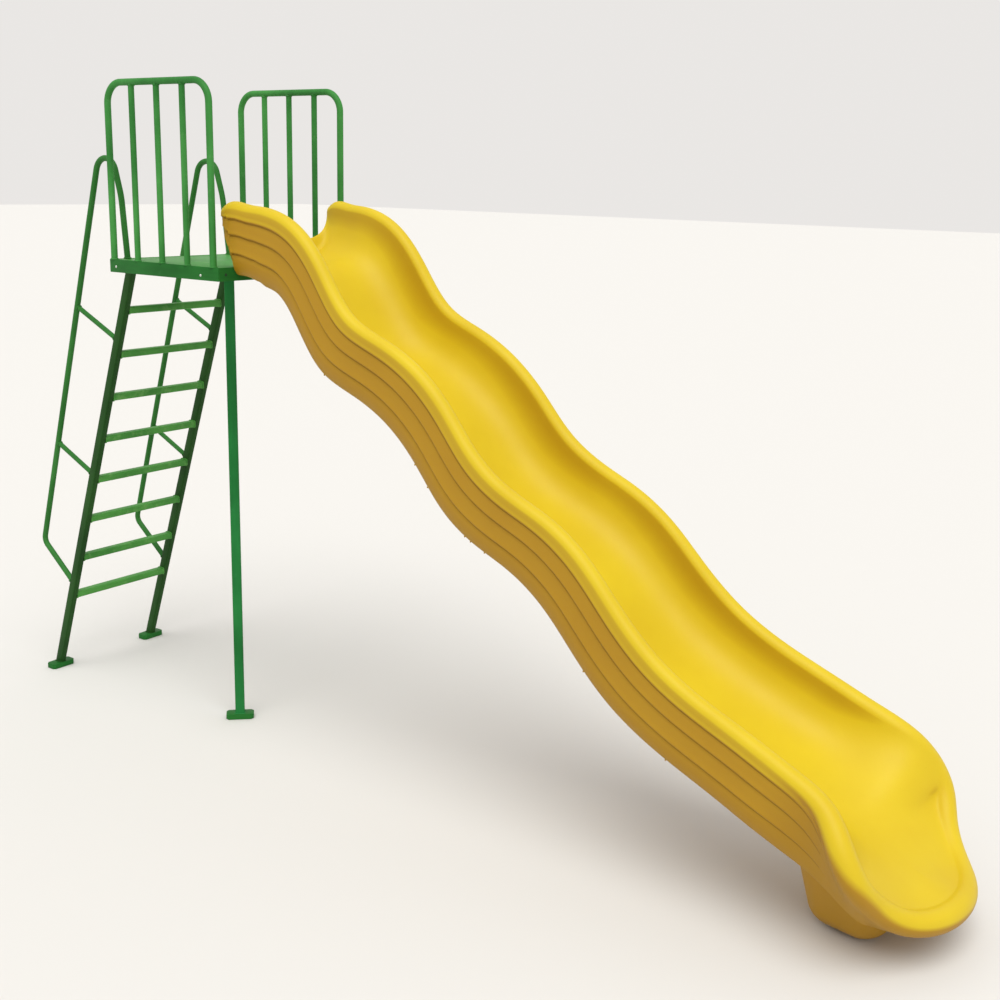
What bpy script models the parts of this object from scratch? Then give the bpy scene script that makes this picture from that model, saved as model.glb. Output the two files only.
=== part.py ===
"""Free-standing wave slide: a moulded plastic chute hung on a welded green steel tower.

Metres, +Z up.  +X is the way down the slide, +Y is the left hand of somebody who slides down.
All pieces are laid out from a line just behind the deck, and an empty moves them so that the
origin is on the ground under the middle of the whole slide.
"""
import math

import bmesh
import bpy
import numpy as np
from mathutils import Matrix, Vector

# Driving dimensions
SEAT_GAP = 0.0003            # left between two pieces that touch

DECK_HEIGHT = 2.200          # ground to the top of the deck's steel edge
DECK_BACK_X = 0.022
DECK_FRONT_X = 0.754
DECK_LENGTH = DECK_FRONT_X - DECK_BACK_X
DECK_WIDTH = 0.824           # over the outer faces of the side skirts
SKIRT_HEIGHT = 0.059
SKIRT_THICKNESS = 0.005
PLATE_THICKNESS = 0.004
PLATE_DROP = 0.002           # the walking plate lies this far below the skirts' top edge
BEARER_SIZE = 0.040

LADDER_TOP_X = 0.052         # stringer axis at deck height
LADDER_RUN = 0.760           # how far the foot stands behind the top
LADDER_HALF_SPACING = 0.301
STRINGER_DEPTH = 0.046       # along X, cut level
STRINGER_WIDTH = 0.032
RUNG_COUNT = 8
FIRST_RUNG_DROP = 0.248      # deck to the middle of the top rung
RUNG_PITCH = 0.218
RUNG_DEPTH = 0.044
RUNG_HEIGHT = 0.033

FOOT_LENGTH = 0.132
FOOT_WIDTH = 0.066
FOOT_THICKNESS = 0.026
FOOT_CORNER = 0.012

GUARD_TUBE = 0.0300
GUARD_BAR_TUBE = 0.0270
GUARD_HEIGHT = 0.777         # deck to the middle of the top rail
GUARD_CORNER = 0.092
GUARD_BACK_X = 0.043         # middle of the end legs
GUARD_FRONT_X = 0.711
GUARD_BARS = 3
GUARD_PLANE = 0.401          # middle of the guard from the centre line

HANDRAIL_TUBE = 0.0280
# distance, plane and height of the handrail's corners, from the deck over the loop and back
HANDRAIL_FOOT = (0.038, 0.316, 2.100)
HANDRAIL_KNEE = (-0.006, 0.310, 2.480)
HANDRAIL_APEX = (-0.112, 0.307, 2.830)
HANDRAIL_BEND = (-0.776, 0.302, 0.685)
HANDRAIL_END = (-0.535, 0.301, 0.490)
HANDRAIL_KNEE_RADIUS = 0.35
HANDRAIL_LOOP_RADIUS = 0.074
HANDRAIL_BEND_RADIUS = 0.050
STANDOFF_TUBE = 0.0240
STANDOFF_HEIGHTS = (1.945, 1.237)    # on the outer limb
STANDOFF_FALL = 0.47                 # drop towards the ladder for each metre along

POST_X = 0.560
POST_Y = -0.175
POST_SIZE = 0.044
POST_TURN = math.radians(45)         # the post and its foot stand at an angle to the deck

BRACKET_LENGTH = 0.110
BRACKET_WIDTH = 0.420
BRACKET_THICKNESS = 0.006

# Slide: the middle of the rolled rim down the left side and round to the middle of the front lip,
# as distance, half-width, height and radius
RIM_PATH = (
    (0.720, 0.328, 2.428, 0.030), (0.745, 0.327, 2.440, 0.034), (0.850, 0.319, 2.436, 0.034),
    (0.940, 0.313, 2.427, 0.034), (1.100, 0.310, 2.374, 0.034), (1.270, 0.312, 2.204, 0.034),
    (1.430, 0.315, 2.011, 0.034), (1.600, 0.312, 1.931, 0.034), (1.760, 0.309, 1.848, 0.034),
    (1.930, 0.314, 1.701, 0.034), (2.090, 0.322, 1.523, 0.034), (2.260, 0.327, 1.413, 0.034),
    (2.420, 0.326, 1.341, 0.034), (2.590, 0.329, 1.228, 0.034), (2.750, 0.338, 1.068, 0.034),
    (2.920, 0.350, 0.918, 0.034), (3.080, 0.358, 0.823, 0.034), (3.250, 0.363, 0.748, 0.035),
    (3.350, 0.368, 0.706, 0.036), (3.500, 0.377, 0.641, 0.038), (3.645, 0.400, 0.563, 0.043),
    (3.725, 0.440, 0.463, 0.048), (3.778, 0.440, 0.372, 0.047), (3.825, 0.372, 0.276, 0.046),
    (3.895, 0.283, 0.200, 0.045), (3.968, 0.170, 0.170, 0.046), (4.004, 0.000, 0.165, 0.047),
)
EXIT_KNOT = 18                       # from this point on the rim turns round the exit
BED_DEPTH = 0.255                    # rim's top edge down to the sliding bed
WALL_DEPTH = 0.325                   # rim's top edge down to the underside
STEP_DEPTHS = (0.100, 0.165, 0.240)  # the three stepped lines along the outer wall
STEP_INSETS = (0.014, 0.008, 0.008)
UNDERSIDE_INSET = 0.070
TILT_MIDDLE = math.radians(38)       # cross-sections lean back by the mean slope of the slide
TILT_EXIT = math.radians(24)
EXIT_BED_END = 3.840                 # where the middle of the bed meets the front lip
EXIT_BED_SLOPE = 0.438
EXIT_LIP_DEPTH = 0.096               # rim's top edge to the underside at the front
EXIT_FLOOR = 0.085                   # bed to underside along the middle
EXIT_UNDERSIDE_END = 3.800
SLIDE_STATIONS = 58

MOULDED_FOOT = dict(
    back=3.490, front=3.835, half_width=0.312, taper_along=0.030, taper_across=0.120,
    back_top=0.335, front_top=0.172, rounding=0.090,
)

RAIL_REAR_X = HANDRAIL_BEND[0] - 0.0059
SLIDE_FRONT_X = RIM_PATH[-1][0] + RIM_PATH[-1][3]
MIDDLE_X = (RAIL_REAR_X + SLIDE_FRONT_X) / 2

STRINGER_LEAN = LADDER_RUN / DECK_HEIGHT


def ladder_x(height):
    """Stringer axis at a height above the ground."""
    return LADDER_TOP_X - STRINGER_LEAN * (DECK_HEIGHT - height)


# Scene and materials

def clear_scene():
    for old in list(bpy.data.objects):
        bpy.data.objects.remove(old, do_unlink=True)


def make_collection(name):
    group = bpy.data.collections.new(name)
    bpy.context.scene.collection.children.link(group)
    return group


def make_material(name, colour, roughness, metallic=0.0):
    material = bpy.data.materials.new(name)
    material.use_nodes = True
    shader = material.node_tree.nodes["Principled BSDF"]
    shader.inputs["Base Color"].default_value = (*colour, 1.0)
    shader.inputs["Roughness"].default_value = roughness
    shader.inputs["Metallic"].default_value = metallic
    material.diffuse_color = (*colour, 1.0)
    return material


clear_scene()
PARTS = make_collection("wave_slide")
CUTTERS = make_collection("joining_shapes")
GREEN = make_material("green_steel", (0.05, 0.24, 0.06), 0.42)
YELLOW = make_material("yellow_polyethylene", (0.80, 0.50, 0.02), 0.35)

LAYOUT = bpy.data.objects.new("deck_back_edge", None)
PARTS.objects.link(LAYOUT)
LAYOUT.location = (-MIDDLE_X, 0.0, 0.0)


def place(obj, material, location=(0, 0, 0), turn=0.0, group=None):
    """Puts an object in its collection, under the layout empty."""
    (group or PARTS).objects.link(obj)
    obj.parent = LAYOUT
    obj.location = location
    obj.rotation_euler = (0, 0, turn)
    obj.data.materials.append(material)
    if group is CUTTERS:
        obj.hide_render = True
        obj.display_type = "WIRE"
    return obj


# Shapes

def box_mesh(name, size, bevel=0.0, upright_only=True, lean=0.0):
    """A box centred on its origin, its edges rounded, leaning along X by lean per metre of height."""
    mesh = bpy.data.meshes.new(name)
    bm = bmesh.new()
    bmesh.ops.create_cube(bm, size=1.0, matrix=Matrix.Diagonal((*size, 1.0)))
    if bevel:
        edges = [e for e in bm.edges if not upright_only or abs(e.verts[0].co.z - e.verts[1].co.z) > 1e-6]
        bmesh.ops.bevel(bm, geom=edges, offset=bevel, segments=2, profile=0.5, affect="EDGES")
    for vert in bm.verts:
        vert.co.x += lean * vert.co.z
    bm.to_mesh(mesh)
    bm.free()
    return mesh


def rounded_path(corners, radii, segments=7):
    """Points along straight runs joined by arcs of the given radii, in the plane of each corner."""
    points = [Vector(corners[0])]
    for before, corner, after, radius in zip(corners, corners[1:], corners[2:], radii):
        corner = Vector(corner)
        to_before = (Vector(before) - corner).normalized()
        to_after = (Vector(after) - corner).normalized()
        half_angle = to_before.angle(to_after) / 2
        centre = corner + (to_before + to_after).normalized() * radius / math.sin(half_angle)
        start = (corner + to_before * radius / math.tan(half_angle) - centre).normalized()
        end = (corner + to_after * radius / math.tan(half_angle) - centre).normalized()
        for step in range(segments + 1):
            points.append(centre + start.slerp(end, step / segments) * radius)
    points.append(Vector(corners[-1]))
    return points


def tube_curve(name, points, diameter, sides=3):
    curve = bpy.data.curves.new(name, "CURVE")
    curve.dimensions = "3D"
    spline = curve.splines.new("POLY")
    spline.points.add(len(points) - 1)
    for target, point in zip(spline.points, points):
        target.co = (*point, 1.0)
    curve.bevel_depth = diameter / 2
    curve.bevel_resolution = sides
    curve.use_fill_caps = True
    return curve


def tube_object(name, points, diameter, material=GREEN):
    obj = bpy.data.objects.new(name, tube_curve(name, points, diameter))
    return place(obj, material)


def curve_to_mesh(obj, group):
    """The same tube as a closed mesh, for joining."""
    bpy.context.view_layer.update()
    evaluated = obj.evaluated_get(bpy.context.evaluated_depsgraph_get())
    mesh = bpy.data.meshes.new_from_object(evaluated)
    bm = bmesh.new()
    bm.from_mesh(mesh)
    bmesh.ops.remove_doubles(bm, verts=bm.verts, dist=0.00001)
    bm.to_mesh(mesh)
    bm.free()
    name, material = obj.name, obj.data.materials[0]
    old_curve = obj.data
    bpy.data.objects.remove(obj, do_unlink=True)
    bpy.data.curves.remove(old_curve)
    mesh.materials.clear()
    return place(bpy.data.objects.new(name, mesh), material, group=group)


def join_with(body, others):
    """Fuses other meshes into a body with Boolean unions."""
    for other in others:
        union = body.modifiers.new("weld_" + other.name, "BOOLEAN")
        union.operation = "UNION"
        union.object = other


def cut_away(body, others):
    """Trims a piece to the shapes it is welded to."""
    for other in others:
        cut = body.modifiers.new("trim_" + other.name, "BOOLEAN")
        cut.operation = "DIFFERENCE"
        cut.object = other


def shade_round(obj, limit=40):
    obj.data.shade_smooth()
    obj.data.set_sharp_from_angle(angle=math.radians(limit))


# Deck

def add_deck():
    half = DECK_WIDTH / 2
    skirt_z = DECK_HEIGHT - SKIRT_HEIGHT / 2
    side_size = (DECK_LENGTH, SKIRT_THICKNESS, SKIRT_HEIGHT)
    for side, name in ((-1, "deck_skirt_right"), (1, "deck_skirt_left")):
        mesh = box_mesh(name, side_size)
        y = side * (half - SKIRT_THICKNESS / 2)
        place(bpy.data.objects.new(name, mesh), GREEN, (DECK_MIDDLE_X, y, skirt_z))
    inner_width = DECK_WIDTH - 2 * SKIRT_THICKNESS - 2 * SEAT_GAP
    end_size = (SKIRT_THICKNESS, inner_width, SKIRT_HEIGHT)
    for x, name in (
        (DECK_BACK_X + SKIRT_THICKNESS / 2, "deck_skirt_back"),
        (DECK_FRONT_X - SKIRT_THICKNESS / 2, "deck_skirt_front"),
    ):
        place(bpy.data.objects.new(name, box_mesh(name, end_size)), GREEN, (x, 0, skirt_z))
    inner_length = DECK_LENGTH - 2 * SKIRT_THICKNESS - 2 * SEAT_GAP
    plate = box_mesh("deck_plate", (inner_length, inner_width, PLATE_THICKNESS))
    plate_z = DECK_HEIGHT - PLATE_DROP - PLATE_THICKNESS / 2
    place(bpy.data.objects.new("deck_plate", plate), GREEN, (DECK_MIDDLE_X, 0, plate_z))
    bearer = box_mesh("deck_bearer", (BEARER_SIZE, inner_width, BEARER_SIZE), bevel=0.0)
    bearer_z = PLATE_UNDERSIDE - SEAT_GAP - BEARER_SIZE / 2
    place(bpy.data.objects.new("deck_bearer", bearer), GREEN, (POST_X, 0, bearer_z))


PLATE_UNDERSIDE = DECK_HEIGHT - PLATE_DROP - PLATE_THICKNESS
DECK_MIDDLE_X = (DECK_BACK_X + DECK_FRONT_X) / 2


# Ladder

def foot_mesh(name):
    return box_mesh(name, (FOOT_WIDTH, FOOT_LENGTH, FOOT_THICKNESS), bevel=FOOT_CORNER)


def add_ladder():
    bottom = FOOT_THICKNESS + SEAT_GAP
    top = PLATE_UNDERSIDE - SEAT_GAP
    middle = (bottom + top) / 2
    notch = bpy.data.objects.new("skirt_notch", box_mesh("skirt_notch", (0.1, DECK_WIDTH, 0.1)))
    notch_x = DECK_BACK_X + SKIRT_THICKNESS + SEAT_GAP - 0.05
    place(notch, GREEN, (notch_x, 0, DECK_HEIGHT - SKIRT_HEIGHT - SEAT_GAP + 0.05), group=CUTTERS)
    for side, hand in ((-1, "right"), (1, "left")):
        y = side * LADDER_HALF_SPACING
        name = "ladder_stringer_" + hand
        size = (STRINGER_DEPTH, STRINGER_WIDTH, top - bottom)
        mesh = box_mesh(name, size, bevel=0.004, lean=STRINGER_LEAN)
        stringer = place(bpy.data.objects.new(name, mesh), GREEN, (ladder_x(middle), y, middle))
        cut_away(stringer, [notch])
        name = "ladder_foot_" + hand
        foot = bpy.data.objects.new(name, foot_mesh(name))
        place(foot, GREEN, (ladder_x(FOOT_THICKNESS), y, FOOT_THICKNESS / 2))
    rung_length = 2 * LADDER_HALF_SPACING - STRINGER_WIDTH - 2 * SEAT_GAP
    rung = box_mesh("ladder_rung", (RUNG_DEPTH, rung_length, RUNG_HEIGHT))
    for number in range(RUNG_COUNT):
        z = DECK_HEIGHT - FIRST_RUNG_DROP - number * RUNG_PITCH
        obj = bpy.data.objects.new("ladder_rung_%d" % (number + 1), rung)
        PARTS.objects.link(obj)
        obj.parent = LAYOUT
        obj.location = (ladder_x(z), 0, z)
    rung.materials.append(GREEN)


# Handrails beside the ladder

def limb_point(height, side):
    """Point on the axis of the handrail's outer limb, at a height above the ground."""
    low, high = Vector(HANDRAIL_BEND), Vector(HANDRAIL_APEX)
    point = low.lerp(high, (height - low.z) / (high.z - low.z))
    return Vector((point.x, side * point.y, point.z))


def add_handrails():
    for side, hand in ((-1, "right"), (1, "left")):
        y = side * LADDER_HALF_SPACING
        turns = (HANDRAIL_FOOT, HANDRAIL_KNEE, HANDRAIL_APEX, HANDRAIL_BEND, HANDRAIL_END)
        corners = [(x, side * plane, z) for x, plane, z in turns]
        radii = (HANDRAIL_KNEE_RADIUS, HANDRAIL_LOOP_RADIUS, HANDRAIL_BEND_RADIUS)
        path = rounded_path(corners, radii, 10)
        grown_post = box_mesh(
            "stringer_trim",
            (STRINGER_DEPTH + 2 * SEAT_GAP, 0.1, DECK_HEIGHT), lean=STRINGER_LEAN,
        )
        post = bpy.data.objects.new("stringer_trim_" + hand, grown_post)
        middle = DECK_HEIGHT / 2 - 0.1
        place(post, GREEN, (ladder_x(middle), y, middle), group=CUTTERS)
        deck = bpy.data.objects.new("deck_trim_" + hand, box_mesh("deck_trim", (0.2, 0.1, 0.2)))
        deck_z = DECK_HEIGHT + SEAT_GAP - 0.1
        place(deck, GREEN, (HANDRAIL_FOOT[0] + 0.05, y, deck_z), group=CUTTERS)
        limb = tube_object("rail_trim_" + hand, path, HANDRAIL_TUBE + 2 * SEAT_GAP)
        limb = curve_to_mesh(limb, CUTTERS)
        rail = curve_to_mesh(tube_object("handrail_" + hand, path, HANDRAIL_TUBE), PARTS)
        cut_away(rail, [post, deck])
        shade_round(rail)
        for number, height in enumerate(STANDOFF_HEIGHTS):
            start = limb_point(height, side)
            run = (ladder_x(start.z) - start.x) / (1 + STRINGER_LEAN * STANDOFF_FALL)
            end = Vector((start.x + run, y, start.z - run * STANDOFF_FALL))
            name = "handrail_standoff_%s_%d" % (hand, number + 1)
            standoff = curve_to_mesh(tube_object(name, [start, end], STANDOFF_TUBE), PARTS)
            cut_away(standoff, [limb, post])
            shade_round(standoff)


# Guards beside the deck

def add_guards():
    foot_z = DECK_HEIGHT + SEAT_GAP
    top_z = DECK_HEIGHT + GUARD_HEIGHT
    back = GUARD_BACK_X
    front = GUARD_FRONT_X
    for side, hand in ((-1, "right"), (1, "left")):
        y = side * GUARD_PLANE
        corners = [(back, y, foot_z), (back, y, top_z), (front, y, top_z), (front, y, foot_z)]
        path = rounded_path(corners, (GUARD_CORNER, GUARD_CORNER))
        guard = curve_to_mesh(tube_object("guard_rail_" + hand, path, GUARD_TUBE), PARTS)
        bars = []
        for number in range(GUARD_BARS):
            x = back + (front - back) * (number + 1) / (GUARD_BARS + 1)
            name = "guard_bar_%s_%d" % (hand, number + 1)
            run = [(x, y, foot_z), (x, y, top_z)]
            bars.append(curve_to_mesh(tube_object(name, run, GUARD_BAR_TUBE), CUTTERS))
        join_with(guard, bars)
        shade_round(guard)


# Front post

def add_post():
    top = PLATE_UNDERSIDE - BEARER_SIZE - 2 * SEAT_GAP
    bottom = FOOT_THICKNESS + SEAT_GAP
    mesh = box_mesh("front_post", (POST_SIZE, POST_SIZE, top - bottom), bevel=0.004)
    middle = (top + bottom) / 2
    place(bpy.data.objects.new("front_post", mesh), GREEN, (POST_X, POST_Y, middle), POST_TURN)
    foot = bpy.data.objects.new("front_post_foot", foot_mesh("front_post_foot"))
    place(foot, GREEN, (POST_X, POST_Y, FOOT_THICKNESS / 2), POST_TURN - math.pi / 2)


# Slide

def smooth_line(at, values):
    """A natural cubic curve through values, as a function of the distance along them."""
    x = np.array(at, dtype=float)
    y = np.array(values, dtype=float)
    gap = np.diff(x)
    count = len(x)
    matrix = np.eye(count)
    right = np.zeros(count)
    for i in range(1, count - 1):
        matrix[i, i - 1:i + 2] = gap[i - 1], 2 * (gap[i - 1] + gap[i]), gap[i]
        right[i] = 6 * ((y[i + 1] - y[i]) / gap[i] - (y[i] - y[i - 1]) / gap[i - 1])
    bend = np.linalg.solve(matrix, right)

    def value(where):
        i = int(np.clip(np.searchsorted(x, where) - 1, 0, count - 2))
        left, rest = where - x[i], x[i + 1] - where
        slope_left = y[i] / gap[i] - bend[i] * gap[i] / 6
        slope_right = y[i + 1] / gap[i] - bend[i + 1] * gap[i] / 6
        curved = (bend[i] * rest ** 3 + bend[i + 1] * left ** 3) / (6 * gap[i])
        return float(curved + slope_left * rest + slope_right * left)

    return value


def ease(value, start, end):
    """0 before start, 1 after end, and a smooth step between."""
    t = min(max((value - start) / (end - start), 0.0), 1.0)
    return t * t * (3 - 2 * t)


def mix(a, b, share):
    return a + (b - a) * share


def unit(vector):
    return vector / np.linalg.norm(vector)


def rim_curves():
    """The rim's coordinates and radius as functions of the length along it, and its knots' lengths."""
    half = [np.array(knot) for knot in RIM_PATH]
    mirrored = [knot * (1, -1, 1, 1) for knot in reversed(half[-4:-1])]
    knots = half + mirrored
    lengths = [0.0]
    for before, after in zip(knots, knots[1:]):
        lengths.append(lengths[-1] + float(np.linalg.norm(after[:3] - before[:3])))
    columns = np.array(knots).T
    return [smooth_line(lengths, column) for column in columns], lengths


RIM_CURVES, RIM_LENGTHS = rim_curves()
RIM_END = RIM_LENGTHS[len(RIM_PATH) - 1]
EXIT_START = RIM_LENGTHS[EXIT_KNOT]


def rim_state(length):
    """Middle of the rim, its direction and its radius."""
    here = np.array([curve(length) for curve in RIM_CURVES])
    ahead = np.array([curve(length + 0.004) for curve in RIM_CURVES])
    behind = np.array([curve(length - 0.004) for curve in RIM_CURVES])
    return here[:3], unit((ahead - behind)[:3]), here[3]


def upright_sizes(x, top):
    """Depths of the bed and of the underside below the rim's top edge, along the upper part."""
    over_deck = top - DECK_HEIGHT - SEAT_GAP
    if x < DECK_FRONT_X + 0.002:
        # over the deck the chute is shallower, and its end is rounded upwards
        wall = over_deck - 0.070 * (1 - ease(x, 0.718, 0.750))
        return min(BED_DEPTH, over_deck - 0.022, wall - 0.030), wall
    wall = mix(over_deck + 0.036, WALL_DEPTH, ease(x, 0.756, 0.900))
    return mix(min(BED_DEPTH, over_deck - 0.022), BED_DEPTH, ease(x, 0.756, 0.900)), wall


def bend(start, start_way, end_way, end, steps):
    """A curve that leaves start along one vector and reaches end against another."""
    points = []
    for step in range(steps):
        t = step / steps
        away = 1 - t
        near = start * away ** 3 + (start + start_way) * 3 * away * away * t
        points.append(near + (end + end_way) * 3 * away * t * t + end * t ** 3)
    return points


def half_section(length):
    """Half of a cross-section on the left, from the middle of the bed over the rim to the underside."""
    middle, forward, radius = rim_state(length)
    round_exit = (length - EXIT_START) / (RIM_END - EXIT_START)
    x = middle[0]
    tilt = mix(TILT_MIDDLE * ease(x, 0.80, 1.30), TILT_EXIT, ease(x, 2.95, 3.35))
    tilt *= 1 - ease(round_exit, 0.20, 0.55)
    sideways = np.array([0.0, 1.0, 0.0])
    down = np.array([-math.sin(tilt), 0.0, -math.cos(tilt)])
    # the roll's own section turns square to the rim as it runs round the exit
    outward = unit(np.array([-forward[1], forward[0], 0.0]))
    steep = unit(forward * forward[2] - np.array([0.0, 0.0, 1.0]))
    outward = unit(mix(sideways, outward, ease(round_exit, 0.0, 0.25)))
    steep = unit(mix(down, steep, ease(round_exit, 0.0, 0.25)))
    inner_turn = math.radians(mix(90, 25, ease(round_exit, 0.05, 0.70)))
    outer_turn = math.radians(mix(90, 165, ease(round_exit, 0.10, 0.50)))
    roll = []
    for step in range(ROLL_STEPS + 1):
        angle = mix(-inner_turn, outer_turn, step / ROLL_STEPS)
        roll.append(middle + radius * (math.sin(angle) * outward - math.cos(angle) * steep))
    top = middle - down * radius
    if round_exit <= 0:
        bed_depth = BED_DEPTH
        wall_depth = WALL_DEPTH + 0.016 * ease(x, 0.88, 0.97) * (1 - ease(x, 1.0, 1.25))
        wall_depth -= 0.007 * ease(x, 2.95, 3.35)
        if x < 0.90:
            bed_depth, wall_depth = upright_sizes(x, top[2])
        bed = top + down * bed_depth
        under = top + down * wall_depth
        bed_way = sideways
    else:
        wall_depth = mix(WALL_DEPTH - 0.007, EXIT_LIP_DEPTH, ease(round_exit, 0.20, 0.85))
        gone = 1 - (1 - min(round_exit, 1.0)) ** 2
        bed_x = mix(EXIT_BED_START[0], EXIT_BED_END, gone)
        bed = np.array([bed_x, 0.0, EXIT_BED_START[2] - EXIT_BED_SLOPE * (bed_x - EXIT_BED_START[0])])
        under_x = mix(EXIT_UNDER_START[0], EXIT_UNDERSIDE_END, gone)
        share = (under_x - EXIT_UNDER_START[0]) / (EXIT_UNDERSIDE_END - EXIT_UNDER_START[0])
        end_z = EXIT_BED_START[2] - EXIT_BED_SLOPE * (EXIT_UNDERSIDE_END - EXIT_BED_START[0]) - EXIT_FLOOR
        under = np.array([under_x, 0.0, mix(EXIT_UNDER_START[2], end_z, share)])
        turn = math.pi / 2 * ease(round_exit, 0.35, 1.0)
        bed_way = unit(np.array([math.sin(turn), math.cos(turn), -EXIT_BED_SLOPE * math.sin(turn)]))
    bed[1] = 0.0
    under[1] = 0.0
    inward = math.sin(inner_turn) * steep - math.cos(inner_turn) * outward
    across = roll[0] - bed
    height = abs(float(across @ steep))
    width = float(np.linalg.norm(across - steep * float(across @ steep)))
    reach = mix(0.84 * height, 0.10 * width, ease(round_exit, 0.0, 0.30))
    spread = mix(0.70, 0.45, ease(round_exit, 0.0, 0.30))
    wall = bend(roll[0], inward * reach, bed_way * width * spread, bed, BED_STEPS)
    points = [bed] + wall[:0:-1] + roll
    # the stepped outer wall, fading into the roll's back at the exit
    wall_turn = math.pi / 2 * ease(round_exit, 0.45, 1.0)
    wall_way = np.array([math.sin(wall_turn), math.cos(wall_turn), 0.0])
    inset = UNDERSIDE_INSET + 0.050 * ease(round_exit, 0.1, 0.4) * (1 - ease(round_exit, 0.55, 0.9))
    scale = wall_depth / WALL_DEPTH
    corner = middle + wall_way * (radius - inset) + down * (wall_depth - radius)
    profile = [(0.0, max(STEP_DEPTHS[0] - 0.014, 0.050)), (0.30, STEP_DEPTHS[0] - 0.004), (1.0, STEP_DEPTHS[0])]
    profile = [(STEP_INSETS[0] * share, depth) for share, depth in profile]
    gone = STEP_INSETS[0]
    for depth, step_in in zip(STEP_DEPTHS[1:], STEP_INSETS[1:]):
        profile += [(gone + 0.2 * step_in, depth), (gone + step_in, depth + 0.006)]
        gone += step_in
    rest, last = UNDERSIDE_INSET - gone, STEP_DEPTHS[-1] + 0.006
    for step in (1, 2, 3):
        angle = math.pi / 6 * step
        depth = mix(last, WALL_DEPTH, math.sin(angle))
        profile.append((gone + rest * (1 - math.cos(angle)), depth))
    faded = ease(round_exit, 0.15, 0.50)
    for off, depth in profile:
        stepped = middle + wall_way * (radius - off) + down * (depth * scale - radius)
        straight = mix(roll[-1], corner, (depth - radius) / (WALL_DEPTH - radius))
        points.append(mix(stepped, straight, faded))
    points.append(under)
    return points


ROLL_STEPS = 8
BED_STEPS = 7
EXIT_BED_START = (0.0, 0.0, 0.0)
EXIT_UNDER_START = (0.0, 0.0, 0.0)
EXIT_BED_START = half_section(EXIT_START)[0]
EXIT_UNDER_START = half_section(EXIT_START)[-1]


def slide_stations():
    """Lengths along the rim of the cross-sections: close together at the top end and round the exit."""
    head = []
    for x in (0.720, 0.726, 0.742, DECK_FRONT_X + 0.0005, DECK_FRONT_X + 0.0045, 0.800):
        low, high = 0.0, 0.30
        for halving in range(40):
            middle = (low + high) / 2
            low, high = (middle, high) if RIM_CURVES[0](middle) < x else (low, middle)
        head.append(low)
    run = SLIDE_STATIONS - len(head)
    turning = run * 2 // 5
    straight = np.linspace(head[-1] + 0.06, EXIT_START, run - turning)
    exit_part = np.linspace(EXIT_START, RIM_END, turning + 1)[1:]
    return head + list(straight) + list(exit_part)


def chute_mesh(name):
    """A loft through the cross-sections, both sides, closed by a flat end on the deck."""
    bm = bmesh.new()
    stations = slide_stations()
    rows = []
    for index, length in enumerate(stations):
        section = half_section(length)
        row = [bm.verts.new(point) for point in section]
        other = list(row)
        if index < len(stations) - 1:
            other = [row[0]] + [bm.verts.new(point * (1, -1, 1)) for point in section[1:-1]] + [row[-1]]
        rows.append((row, other))
    for (near, near_other), (far, far_other) in zip(rows, rows[1:]):
        for i in range(len(near) - 1):
            bm.faces.new((near[i], near[i + 1], far[i + 1], far[i]))
            bm.faces.new((far_other[i], far_other[i + 1], near_other[i + 1], near_other[i]))
    first, first_other = rows[0]
    bm.faces.new(first + first_other[-2:0:-1])
    bmesh.ops.recalc_face_normals(bm, faces=bm.faces)
    bmesh.ops.triangulate(bm, faces=bm.faces)
    mesh = bpy.data.meshes.new(name)
    bm.to_mesh(mesh)
    bm.free()
    return mesh


def moulded_foot_mesh(name):
    """The hollow foot under the exit: a tapered box with round edges that stands on the ground."""
    spec = MOULDED_FOOT
    length = spec["front"] - spec["back"]
    bm = bmesh.new()
    bmesh.ops.create_cube(bm, size=1.0, matrix=Matrix.Diagonal((length, 2 * spec["half_width"], 1.0, 1.0)))
    for vert in bm.verts:
        if vert.co.z < 0:
            vert.co.x -= math.copysign(spec["taper_along"], vert.co.x)
            vert.co.y -= math.copysign(spec["taper_across"], vert.co.y)
            vert.co.z = 0.0
        else:
            vert.co.z = spec["back_top"] if vert.co.x < 0 else spec["front_top"]
    edges = [e for e in bm.edges if min(v.co.z for v in e.verts) < 0.01]
    bmesh.ops.bevel(bm, geom=edges, offset=spec["rounding"], segments=3, profile=0.5, affect="EDGES")
    bmesh.ops.triangulate(bm, faces=bm.faces)
    mesh = bpy.data.meshes.new(name)
    bm.to_mesh(mesh)
    bm.free()
    return mesh


def add_slide():
    chute = place(bpy.data.objects.new("slide_chute", chute_mesh("slide_chute")), YELLOW)
    spec = MOULDED_FOOT
    foot = bpy.data.objects.new("slide_foot_bulge", moulded_foot_mesh("slide_foot_bulge"))
    place(foot, YELLOW, ((spec["front"] + spec["back"]) / 2, 0, 0), group=CUTTERS)
    join_with(chute, [foot])
    shade_round(chute, 35)
    start = Vector((DECK_FRONT_X + SEAT_GAP, 0, DECK_HEIGHT - 0.036))
    slope = math.atan2(BRACKET_DROP, BRACKET_LENGTH)
    bracket = box_mesh("slide_bracket", (BRACKET_LENGTH, BRACKET_WIDTH, BRACKET_THICKNESS))
    obj = place(bpy.data.objects.new("slide_bracket", bracket), GREEN)
    middle = start + Vector((math.cos(slope), 0, -math.sin(slope))) * BRACKET_LENGTH / 2
    obj.location = middle + Vector((-math.sin(slope), 0, -math.cos(slope))) * (BRACKET_THICKNESS / 2 + 0.0006)
    obj.location.x += BRACKET_THICKNESS * math.sin(slope) + 0.0003
    obj.rotation_euler = (0, slope, 0)


BRACKET_DROP = 0.030

add_deck()
add_ladder()
add_handrails()
add_guards()
add_post()
add_slide()
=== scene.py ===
import math

import bmesh
import bpy
import numpy as np
from mathutils import Matrix, Vector


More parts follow.
